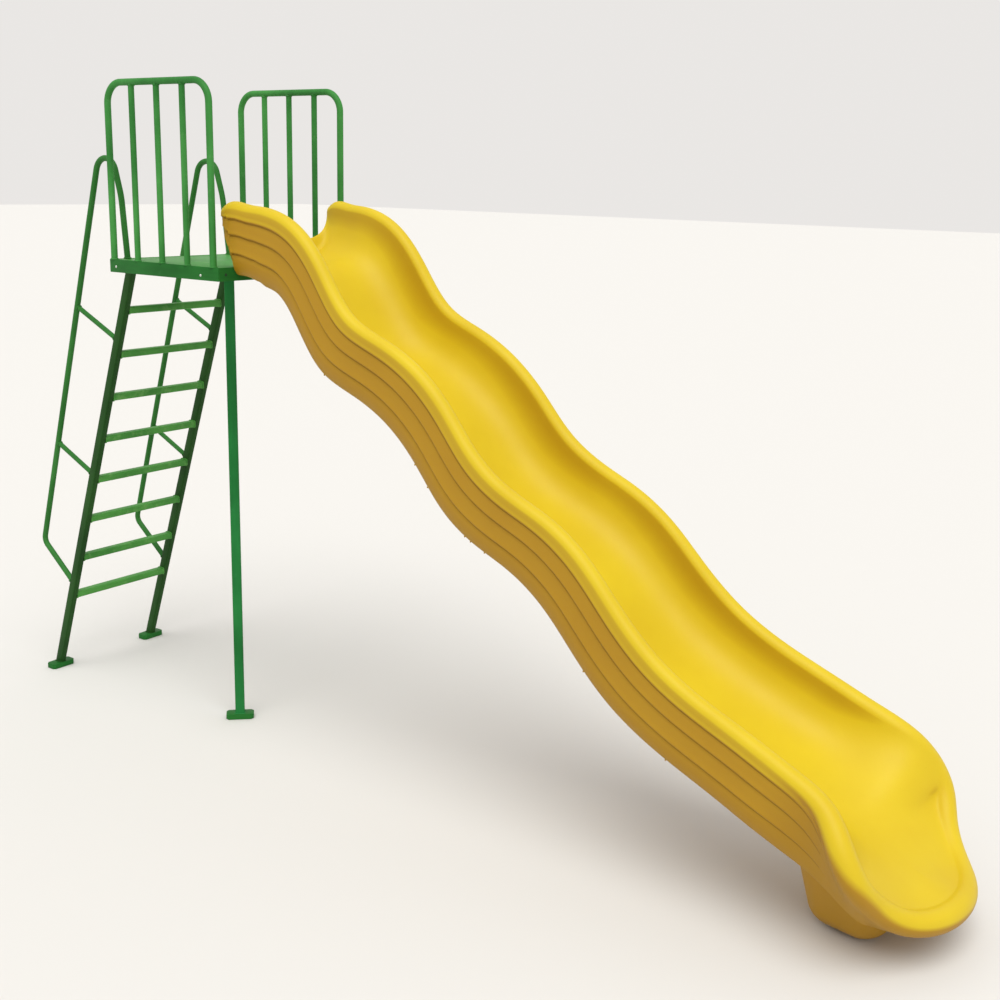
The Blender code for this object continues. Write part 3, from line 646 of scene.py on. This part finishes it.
# the middle of the rim down the left side and round to the front: distance, half-width, height, radius
RIM_PATH = (
    (0.720, 0.328, 2.428, 0.030), (0.745, 0.327, 2.440, 0.034), (0.850, 0.319, 2.436, 0.034),
    (0.940, 0.313, 2.427, 0.034), (1.100, 0.310, 2.374, 0.034), (1.270, 0.312, 2.204, 0.034),
    (1.430, 0.315, 2.011, 0.034), (1.600, 0.312, 1.931, 0.034), (1.760, 0.309, 1.848, 0.034),
    (1.930, 0.314, 1.701, 0.034), (2.090, 0.322, 1.523, 0.034), (2.260, 0.327, 1.413, 0.034),
    (2.420, 0.326, 1.341, 0.034), (2.590, 0.329, 1.228, 0.034), (2.750, 0.338, 1.068, 0.034),
    (2.920, 0.350, 0.918, 0.034), (3.080, 0.358, 0.823, 0.034), (3.250, 0.363, 0.748, 0.035),
    (3.350, 0.368, 0.706, 0.036), (3.500, 0.377, 0.641, 0.038), (3.645, 0.400, 0.563, 0.043),
    (3.725, 0.440, 0.463, 0.048), (3.778, 0.440, 0.372, 0.047), (3.825, 0.372, 0.276, 0.046),
    (3.895, 0.283, 0.200, 0.045), (3.968, 0.170, 0.170, 0.046), (4.004, 0.000, 0.165, 0.047),
)
EXIT_KNOT = 18
BED_DEPTH = 0.255
WALL_DEPTH = 0.325
UNDERSIDE_INSET = 0.070
TILT_MIDDLE = math.radians(38)
TILT_EXIT = math.radians(24)
EXIT_BED_END = 3.840
EXIT_BED_SLOPE = 0.438
EXIT_LIP_DEPTH = 0.096
EXIT_FLOOR = 0.085
EXIT_UNDERSIDE_END = 3.800

# the start, which lies on the deck's edge
SEAT_GAP = 0.0003
SEAT_EDGE = DECK_FRONT + 0.002
BED_OVER_DECK = 0.022                # the least that the bed lies above the deck
END_UNDERCUT = 0.070                 # how far the end's lower corner is drawn up
END_SHELL = 0.030                    # the least between bed and underside there
SEAT_DROP = 0.036                    # how far the underside drops in front of the deck
HEAD_BELLY = 0.016                   # how much deeper the walls are under the first crest
EXIT_RISE = 0.007                    # how much shallower they are before the exit
EAR_TUCK = 0.050                     # how far the underside draws in under the ears

# stretches along the slide over which a form changes
END_CORNER = (0.718, 0.750)
LINES_START = (0.724, 0.748)
SEAT_FRONT = (0.756, 0.900)
BELLY_GROWS = (0.88, 0.97)
BELLY_GOES = (1.0, 1.25)
LEAN_GROWS = (0.80, 1.30)
LEAN_EASES = (2.95, 3.35)
GROOVE_SHADE_END = 3.72                     # under the ear of the exit

# stretches of the way round the exit, from 0 where it starts to 1 at the middle of the lip
SECTION_TURNS = (0.0, 0.25)
LEAN_GOES = (0.20, 0.55)
ROLL_OPENS = (0.05, 0.70)
ROLL_CLOSES = (0.12, 0.50)
WALL_RISES = (0.20, 0.85)
WALL_TURNS = (0.45, 1.0)
BED_OPENS = (0.0, 0.45)
BED_TURNS = (0.35, 1.0)
TUCK_GROWS = (0.1, 0.4)
TUCK_GOES = (0.55, 0.9)
LINES_FADE = (0.03, 0.42)

# the stepped lines: how deep each lies under the rim, and how far it steps in
STEP_DEPTHS = (0.076, 0.146, 0.228)
STEP_INSETS = (0.007, 0.009, 0.010)
# one line from above down: before or after the step, depth from the line, and how deep the groove is
LINE_SHAPE = (
    (0, -0.0125, 0.0), (0, -0.0070, -0.0010), (0, -0.0040, -0.0003), (0, -0.0024, 0.0012),
    (1, -0.0004, 0.0034), (1, 0.0030, 0.0038), (1, 0.0070, 0.0015), (1, 0.0105, 0.0004),
)
LINE_REACH = 0.0036                  # painted groove shade lies this near to a line
WALL_START_DEPTH = 0.050
LAST_LINE_END = 0.0110

# each before the exit and at the middle of the lip
ROLL_INSIDE = (90, 25)               # degrees that the rim turns from its top down to the bed
ROLL_OUTSIDE = (90, 165)             # and down to the outer wall
WALL_PULL = (0.84, 0.10)             # how straight the wall leaves the rim, by its height and its width
BED_PULL = (0.70, 0.45)              # how flat the bed is, by its width

SIDEWAYS = np.array([0.0, 1.0, 0.0])
RIM_PROBE = 0.004
ROLL_STEPS = 20
BED_STEPS = 22
UNDER_STEPS = 8
HEAD_PLACES = (0.720, 0.724, 0.730, 0.738, 0.746, 0.7545, 0.7585, 0.770, 0.790)
STATIONS = 230
END_ROUNDING = 0.0060
END_CROWN = 0.0020

# each finish: its name, its painted shade tone for faces turned sideways or down, and its deepest and
# brightest tones for faces turned up
SHELL_FINISHES = (
    ("yellow_moulded_plastic", (0.400, 0.212, 0.009), (0.590, 0.420, 0.010), (0.650, 0.485, 0.013)),
    ("yellow_plastic_groove_shade", (0.320, 0.168, 0.007), (0.335, 0.178, 0.007), (0.360, 0.200, 0.008)),
    ("yellow_plastic_shaded_side", (0.395, 0.212, 0.009), (0.405, 0.218, 0.009), (0.470, 0.270, 0.010)),
)
GROOVE_SHADE, SHADED_SIDE = 1, 2             # the places of the last two in the shell's list of materials
DUST_BROWN = (0.36, 0.20, 0.01, 1)
PLASTIC_GLOSS = 0.26


def smooth_line(at_lengths, values):
    """A natural cubic curve through values, as a function of the length along them."""
    x = np.array(at_lengths, dtype=float)
    y = np.array(values, dtype=float)
    gap = np.diff(x)
    count = len(x)
    matrix = np.eye(count)
    right = np.zeros(count)
    for i in range(1, count - 1):
        matrix[i, i - 1:i + 2] = gap[i - 1], 2 * (gap[i - 1] + gap[i]), gap[i]
        right[i] = 6 * ((y[i + 1] - y[i]) / gap[i] - (y[i] - y[i - 1]) / gap[i - 1])
    bend = np.linalg.solve(matrix, right)

    def value(where):
        i = int(np.clip(np.searchsorted(x, where) - 1, 0, count - 2))
        left, rest = where - x[i], x[i + 1] - where
        slope_left = y[i] / gap[i] - bend[i] * gap[i] / 6
        slope_right = y[i + 1] / gap[i] - bend[i + 1] * gap[i] / 6
        curved = (bend[i] * rest ** 3 + bend[i + 1] * left ** 3) / (6 * gap[i])
        return float(curved + slope_left * rest + slope_right * left)

    return value


def ease(value, start, end):
    t = min(max((value - start) / (end - start), 0.0), 1.0)
    return t * t * (3 - 2 * t)


def mix(a, b, share):
    return a + (b - a) * share


def unit(vector):
    return vector / np.linalg.norm(vector)


half_rim = [np.array(knot) for knot in RIM_PATH]
rim_knots = half_rim + [knot * (1, -1, 1, 1) for knot in reversed(half_rim[-4:-1])]
rim_lengths = [0.0]
for before, after in zip(rim_knots, rim_knots[1:]):
    rim_lengths.append(rim_lengths[-1] + float(np.linalg.norm(after[:3] - before[:3])))
rim_curves = [smooth_line(rim_lengths, column) for column in np.array(rim_knots).T]
RIM_END = rim_lengths[len(RIM_PATH) - 1]
EXIT_START = rim_lengths[EXIT_KNOT]


class RimPlace:
    """A place along the rim: its middle, its radius, and which ways the section there points."""

    def __init__(self, length):
        here = np.array([curve(length) for curve in rim_curves])
        ahead = np.array([curve(length + RIM_PROBE) for curve in rim_curves])
        behind = np.array([curve(length - RIM_PROBE) for curve in rim_curves])
        forward = unit((ahead - behind)[:3])
        self.middle, self.radius = here[:3], here[3]
        self.x = self.middle[0]
        self.turned = (length - EXIT_START) / (RIM_END - EXIT_START)
        tilt = mix(TILT_MIDDLE * ease(self.x, *LEAN_GROWS), TILT_EXIT, ease(self.x, *LEAN_EASES))
        tilt *= 1 - ease(self.turned, *LEAN_GOES)
        self.down = np.array([-math.sin(tilt), 0.0, -math.cos(tilt)])
        outward = unit(np.array([-forward[1], forward[0], 0.0]))
        steep = unit(forward * forward[2] - np.array([0.0, 0.0, 1.0]))
        self.outward = unit(mix(SIDEWAYS, outward, ease(self.turned, *SECTION_TURNS)))
        self.steep = unit(mix(self.down, steep, ease(self.turned, *SECTION_TURNS)))


def rim_roll(place):
    """The round of the rim, from its inner edge over the top to the outer wall, and the way into the bed."""
    inner_turn = math.radians(mix(*ROLL_INSIDE, ease(place.turned, *ROLL_OPENS)))
    outer_turn = math.radians(mix(*ROLL_OUTSIDE, ease(place.turned, *ROLL_CLOSES)))
    roll = []
    for step in range(ROLL_STEPS + 1):
        angle = mix(-inner_turn, outer_turn, step / ROLL_STEPS)
        spoke = math.sin(angle) * place.outward - math.cos(angle) * place.steep
        roll.append(place.middle + place.radius * spoke)
    inward = math.sin(inner_turn) * place.steep - math.cos(inner_turn) * place.outward
    return roll, inward


def upright_sizes(x, top):
    """Depths of the bed and the underside below the rim, where the chute lies over the deck's edge."""
    over_deck = top - DECK_TOP - SEAT_GAP
    if x < SEAT_EDGE:
        wall = over_deck - END_UNDERCUT * (1 - ease(x, *END_CORNER))
        return min(BED_DEPTH, over_deck - BED_OVER_DECK, wall - END_SHELL), wall
    wall = mix(over_deck + SEAT_DROP, WALL_DEPTH, ease(x, *SEAT_FRONT))
    return mix(min(BED_DEPTH, over_deck - BED_OVER_DECK), BED_DEPTH, ease(x, *SEAT_FRONT)), wall


def wave_middle(place):
    """Along the waves: the middles of bed and underside, which way the bed lies, and the wall's depth."""
    top = place.middle - place.down * place.radius
    bed_depth = BED_DEPTH
    wall_depth = WALL_DEPTH + HEAD_BELLY * ease(place.x, *BELLY_GROWS) * (1 - ease(place.x, *BELLY_GOES))
    wall_depth -= EXIT_RISE * ease(place.x, *LEAN_EASES)
    if place.x < SEAT_FRONT[1]:
        bed_depth, wall_depth = upright_sizes(place.x, top[2])
    return top + place.down * bed_depth, top + place.down * wall_depth, SIDEWAYS, wall_depth


def exit_middle(place):
    """The same round the exit, where bed and underside run straight on and the bed opens to the lip."""
    wall_depth = mix(WALL_DEPTH - EXIT_RISE, EXIT_LIP_DEPTH, ease(place.turned, *WALL_RISES))
    gone = 1 - (1 - min(place.turned, 1.0)) ** 2
    bed_x = mix(exit_bed_start[0], EXIT_BED_END, gone)
    bed = np.array([bed_x, 0.0, exit_bed_start[2] - EXIT_BED_SLOPE * (bed_x - exit_bed_start[0])])
    under_x = mix(exit_under_start[0], EXIT_UNDERSIDE_END, gone)
    share = (under_x - exit_under_start[0]) / (EXIT_UNDERSIDE_END - exit_under_start[0])
    end_z = exit_bed_start[2] - EXIT_BED_SLOPE * (EXIT_UNDERSIDE_END - exit_bed_start[0]) - EXIT_FLOOR
    under = np.array([under_x, 0.0, mix(exit_under_start[2], end_z, share)])
    turn = math.pi / 2 * ease(place.turned, *BED_TURNS)
    bed_way = unit(np.array([math.sin(turn), math.cos(turn), -EXIT_BED_SLOPE * math.sin(turn)]))
    return bed, under, bed_way, wall_depth


def inner_wall(place, rim, inward, bed, bed_way):
    """The curve from the rim's inner edge down to the middle of the bed, without its last point."""
    across = rim - bed
    height = abs(float(across @ place.steep))
    width = float(np.linalg.norm(across - place.steep * float(across @ place.steep)))
    opened = ease(place.turned, *BED_OPENS)
    from_rim = rim + inward * mix(WALL_PULL[0] * height, WALL_PULL[1] * width, opened)
    to_bed = bed + bed_way * width * mix(*BED_PULL, opened)
    points = []
    for step in range(BED_STEPS):
        t = step / BED_STEPS
        away = 1 - t
        points.append(
            rim * away ** 3 + from_rim * 3 * away * away * t + to_bed * 3 * away * t * t + bed * t ** 3
        )
    return points


def wall_profile():
    """The outer wall from the rim down: how far in, how deep, and the groove and bead of each line."""
    profile = [(0.0, WALL_START_DEPTH, 0.0)]
    gone = 0.0
    for depth, step_in in zip(STEP_DEPTHS, STEP_INSETS):
        if gone:
            profile.append((gone + 0.10 * step_in, mix(profile[-1][1], depth, 0.5), 0.0))
        for stepped, below, groove in LINE_SHAPE:
            profile.append((gone + stepped * step_in, depth + below, groove))
        gone += step_in
    rest, last = UNDERSIDE_INSET - gone, STEP_DEPTHS[-1] + LAST_LINE_END
    for step in range(1, UNDER_STEPS + 1):
        angle = math.pi / 2 * step / UNDER_STEPS
        profile.append((gone + rest * (1 - math.cos(angle)), mix(last, WALL_DEPTH, math.sin(angle)), 0.0))
    return profile


WALL_PROFILE = wall_profile()


def outer_wall(place, rim_edge, wall_depth):
    """The outside from the rim down: stepped lines along the waves, and a plain wall round the exit."""
    turn = math.pi / 2 * ease(place.turned, *WALL_TURNS)
    wall_way = np.array([math.sin(turn), math.cos(turn), 0.0])
    tuck = EAR_TUCK * ease(place.turned, *TUCK_GROWS) * (1 - ease(place.turned, *TUCK_GOES))
    inset = UNDERSIDE_INSET + tuck
    scale = wall_depth / WALL_DEPTH
    corner = place.middle + wall_way * (place.radius - inset) + place.down * (wall_depth - place.radius)
    faded = ease(place.turned, *LINES_FADE)
    grooved = ease(place.x, *LINES_START)
    points = []
    for off, depth, groove in WALL_PROFILE:
        out = place.radius - off - groove * grooved
        stepped = place.middle + wall_way * out + place.down * (depth * scale - place.radius)
        plain = mix(rim_edge, corner, (depth - place.radius) / (WALL_DEPTH - place.radius))
        points.append(mix(stepped, plain, faded))
    return points


def half_section(length):
    """Half of a cross-section on the left, from the middle of the bed over the rim to the underside."""
    place = RimPlace(length)
    roll, inward = rim_roll(place)
    bed, under, bed_way, wall_depth = wave_middle(place) if place.turned <= 0 else exit_middle(place)
    bed[1] = 0.0
    under[1] = 0.0
    inner = inner_wall(place, roll[0], inward, bed, bed_way)
    return [bed] + inner[:0:-1] + roll + outer_wall(place, roll[-1], wall_depth) + [under]


last_wave_section = half_section(EXIT_START)
exit_bed_start, exit_under_start = last_wave_section[0], last_wave_section[-1]


def rim_length_at(x):
    """How far along the rim it is to a distance x, on the straight part."""
    low, high = 0.0, EXIT_START
    for halving in range(40):
        middle = (low + high) / 2
        low, high = (middle, high) if rim_curves[0](middle) < x else (low, middle)
    return low


def chute_stations():
    """Lengths along the rim at which the shell has a section, close together at the deck and the exit."""
    head = [rim_length_at(x) for x in HEAD_PLACES]
    turning = STATIONS * 2 // 5
    straight = np.linspace(head[-1] + 0.015, EXIT_START, STATIONS - turning)
    return head + list(straight) + list(np.linspace(EXIT_START, RIM_END, turning + 1)[1:])


def yellow_plastic(name, shaded, deep, bright):
    """Moulded polyethylene: strong yellow, with painted shade deepening it on faces turned sideways or down,
    pits and dust specks.
    """
    material, tree, shader = blank_material(name)
    coordinates = tree.nodes.new("ShaderNodeTexCoord")
    place = coordinates.outputs["Object"]
    tone = tones(tree, noise(tree, place, scale=2.6, detail=4.0), deep, bright, start=0.30, end=0.72)
    # painted light and shade: faces turned up take the sunlit tones, faces turned sideways or down the shade
    # tone
    facing = tree.nodes.new("ShaderNodeSeparateXYZ")
    tree.links.new(coordinates.outputs["Normal"], facing.inputs["Vector"])
    upward = ranged(tree, facing.outputs["Z"], low=0.0, high=1.0, start=-0.12, end=0.22)
    facing_light_and_shade = blend(tree, upward, (*shaded, 1), tone)
    dust = tree.nodes.new("ShaderNodeTexVoronoi")
    dust.inputs["Scale"].default_value = 34.0
    tree.links.new(place, dust.inputs["Vector"])
    speck = ranged(tree, dust.outputs["Distance"], low=0.35, high=0.0, start=0.030, end=0.055)
    tree.links.new(blend(tree, speck, facing_light_and_shade, DUST_BROWN), shader.inputs["Base Color"])
    rubbed = noise(tree, place, scale=9.0, detail=6.0)
    tree.links.new(ranged(tree, rubbed, low=0.40, high=0.54), shader.inputs["Roughness"])
    pits = noise(tree, place, scale=180.0, detail=3.0)
    add_relief(tree, shader, pits, strength=0.06, distance=0.0015)
    shader.inputs["Subsurface Weight"].default_value = 0.08
    shader.inputs["Subsurface Radius"].default_value = (0.020, 0.012, 0.003)
    shader.inputs["Specular IOR Level"].default_value = PLASTIC_GLOSS
    return material


# faces of a section in the bottom of a stepped line, which take painted shade, and those under the first
# line, which take the outer wall's painted shade
WALL_START = BED_STEPS + ROLL_STEPS + 1
LINE_FACES = set()
SIDE_FACES = set()
for number, (off, depth, groove) in enumerate(WALL_PROFILE, WALL_START):
    if min(abs(depth - line) for line in STEP_DEPTHS) < LINE_REACH:
        LINE_FACES.add(number)
    if depth > STEP_DEPTHS[0]:
        SIDE_FACES.add(number)

yellow, groove_shade, shaded_side = [yellow_plastic(*finish) for finish in SHELL_FINISHES]
chute = bmesh.new()
stations = chute_stations()
rows = []
for index, length in enumerate(stations):
    section = half_section(length)
    row = [chute.verts.new(at(*point)) for point in section]
    other = list(row)
    if index < len(stations) - 1:
        mirrored = [chute.verts.new(at(point[0], -point[1], point[2])) for point in section[1:-1]]
        other = [row[0]] + mirrored + [row[-1]]
    rows.append((row, other))
groove_shade_end = at(GROOVE_SHADE_END, 0, 0).x
for (near, near_other), (far, far_other) in zip(rows, rows[1:]):
    lined = near[0].co.x < groove_shade_end and near[BED_STEPS].co.x < groove_shade_end
    for i in range(len(near) - 1):
        left = chute.faces.new((near[i], near[i + 1], far[i + 1], far[i]))
        right = chute.faces.new((far_other[i], far_other[i + 1], near_other[i + 1], near_other[i]))
        # painted shade: faces in the grooves of the lines take a darker yellow, as far as the exit's ear
        if lined and i in LINE_FACES:
            left.material_index = right.material_index = GROOVE_SHADE
        # painted shade: faces of the outer wall below the first line take a darker yellow
        elif i in SIDE_FACES:
            left.material_index = right.material_index = SHADED_SIDE
# the flat end on the deck, set in a little so that its edge is round
end_ring = rows[0][0] + rows[0][1][-2:0:-1]
end_face = chute.faces.new(end_ring)
bmesh.ops.inset_individual(chute, faces=[end_face], thickness=END_ROUNDING, depth=END_CROWN)
shell = finish_piece("slide_chute_shell", chute, yellow, ["slide_chute"], crease=50)
shell.data.materials.append(groove_shade)
shell.data.materials.append(shaded_side)

# Slide foot
# A hollow block moulded with the chute under its exit. It carries the foot of the slide on the
# ground, and its sides draw in towards a rounded underside.

FOOT_BACK = 3.490
FOOT_FRONT = 3.835
FOOT_HALF_WIDTH = 0.312
FOOT_TAPER_ALONG = 0.030
FOOT_TAPER_ACROSS = 0.120
FOOT_BACK_TOP = 0.335
FOOT_FRONT_TOP = 0.172
FOOT_ROUNDING = 0.090

block = bmesh.new()
footprint = Matrix.Diagonal((FOOT_FRONT - FOOT_BACK, 2 * FOOT_HALF_WIDTH, 1.0, 1.0))
bmesh.ops.create_cube(block, size=1.0, matrix=footprint)
for vert in block.verts:
    if vert.co.z < 0:
        vert.co.x -= math.copysign(FOOT_TAPER_ALONG, vert.co.x)
        vert.co.y -= math.copysign(FOOT_TAPER_ACROSS, vert.co.y)
        vert.co.z = 0.0
    else:
        vert.co.z = FOOT_BACK_TOP if vert.co.x < 0 else FOOT_FRONT_TOP
lower = [edge for edge in block.edges if min(vert.co.z for vert in edge.verts) < 0.01]
bmesh.ops.bevel(block, geom=lower, offset=FOOT_ROUNDING, segments=10, profile=0.5, affect="EDGES")
for vert in block.verts:
    vert.co += at((FOOT_BACK + FOOT_FRONT) / 2, 0, 0)
finish_piece("slide_moulded_foot", block, yellow, crease=60)

# Mould nibs
# Small nibs of flash left where the mould's vents were, spaced along the lower edge of each wall.

NIB_PLACES = (1.24, 1.74, 1.81, 2.01, 2.04, 2.11, 2.60, 2.95)
NIB_LEAN = 0.20                      # the rim lies this far in front of the edge under it
NIB_EDGE = -4                        # the point of a section on which they stand
NIB_RADIUS = 0.0035
NIB_HEIGHT = 0.0060

nibs = bmesh.new()
for x in NIB_PLACES:
    edge_point = half_section(rim_length_at(x + NIB_LEAN))[NIB_EDGE]
    for side in (-1, 1):
        spot = at(edge_point[0], side * edge_point[1], edge_point[2])
        add_dome(nibs, spot + Vector((0, 0, 0.001)), (-0.4, side * 0.35, -1), NIB_RADIUS, NIB_HEIGHT)
finish_piece("slide_mould_nibs", nibs, yellow)

# Floor and light
# A plain pale studio floor under an even pale surround, with broad soft daylight from high above
# the side that the camera is on.

FLOOR_SIZE = 160.0
FLOOR_DROP = 0.001
FLOOR_GREY = (0.68, 0.67, 0.655, 1)
SURROUND_COLOUR = (1.0, 0.975, 0.95, 1)
SURROUND_STRENGTH = 0.82
DAYLIGHT_STRENGTH = 2.1
DAYLIGHT_SPREAD = math.radians(50)
DAYLIGHT_COLOUR = (1.0, 1.0, 0.96)
DAYLIGHT_WAY = (-0.30, 0.36, -0.88)

floor_mesh = bpy.data.meshes.new("studio_floor")
half_floor = FLOOR_SIZE / 2
floor_corners = [
    (x * half_floor, y * half_floor, -FLOOR_DROP) for x, y in ((-1, -1), (1, -1), (1, 1), (-1, 1))
]
floor_mesh.from_pydata(floor_corners, [], [(0, 1, 2, 3)])
floor = bpy.data.objects.new("studio_floor", floor_mesh)
bpy.context.scene.collection.objects.link(floor)
pale, tree, shader = blank_material("studio_pale")
shader.inputs["Base Color"].default_value = FLOOR_GREY
shader.inputs["Roughness"].default_value = 0.9
floor_mesh.materials.append(pale)

world = bpy.data.worlds.new("studio_surround")
bpy.context.scene.world = world
world.use_nodes = True
surround = world.node_tree.nodes["Background"]
surround.inputs["Color"].default_value = SURROUND_COLOUR
surround.inputs["Strength"].default_value = SURROUND_STRENGTH

daylight = bpy.data.lights.new("high_daylight", "SUN")
daylight.energy = DAYLIGHT_STRENGTH
daylight.angle = DAYLIGHT_SPREAD
daylight.color = DAYLIGHT_COLOUR
holder = bpy.data.objects.new("high_daylight", daylight)
holder.rotation_euler = Vector(DAYLIGHT_WAY).to_track_quat("-Z", "Y").to_euler()
bpy.context.scene.collection.objects.link(holder)

# Camera
# It stands where the photograph was taken from, a little above the deck, off the exit's right side.

CAMERA_PLACE = (5.1173, -4.3176, 2.6043)
CAMERA_YAW = math.radians(126.0027)
CAMERA_PITCH = math.radians(-13.7493)
CAMERA_ROLL = math.radians(1.3533)
CAMERA_LENS = 47.392

toward = Vector((
    math.cos(CAMERA_YAW) * math.cos(CAMERA_PITCH),
    math.sin(CAMERA_YAW) * math.cos(CAMERA_PITCH),
    math.sin(CAMERA_PITCH),
))
level = Vector((math.sin(CAMERA_YAW), -math.cos(CAMERA_YAW), 0))
upward = level.cross(toward)
right_way = level * math.cos(CAMERA_ROLL) + upward * math.sin(CAMERA_ROLL)
up_way = -level * math.sin(CAMERA_ROLL) + upward * math.cos(CAMERA_ROLL)
camera_data = bpy.data.cameras.new("photo_camera")
camera_data.lens = CAMERA_LENS
camera_data.sensor_width = 36.0
camera_data.sensor_fit = "HORIZONTAL"
camera = bpy.data.objects.new("photo_camera", camera_data)
turned = Matrix((right_way, up_way, -toward)).transposed().to_4x4()
turned.translation = at(*CAMERA_PLACE)
camera.matrix_world = turned
bpy.context.scene.collection.objects.link(camera)
bpy.context.scene.camera = camera
bpy.context.scene.view_settings.view_transform = "Standard"
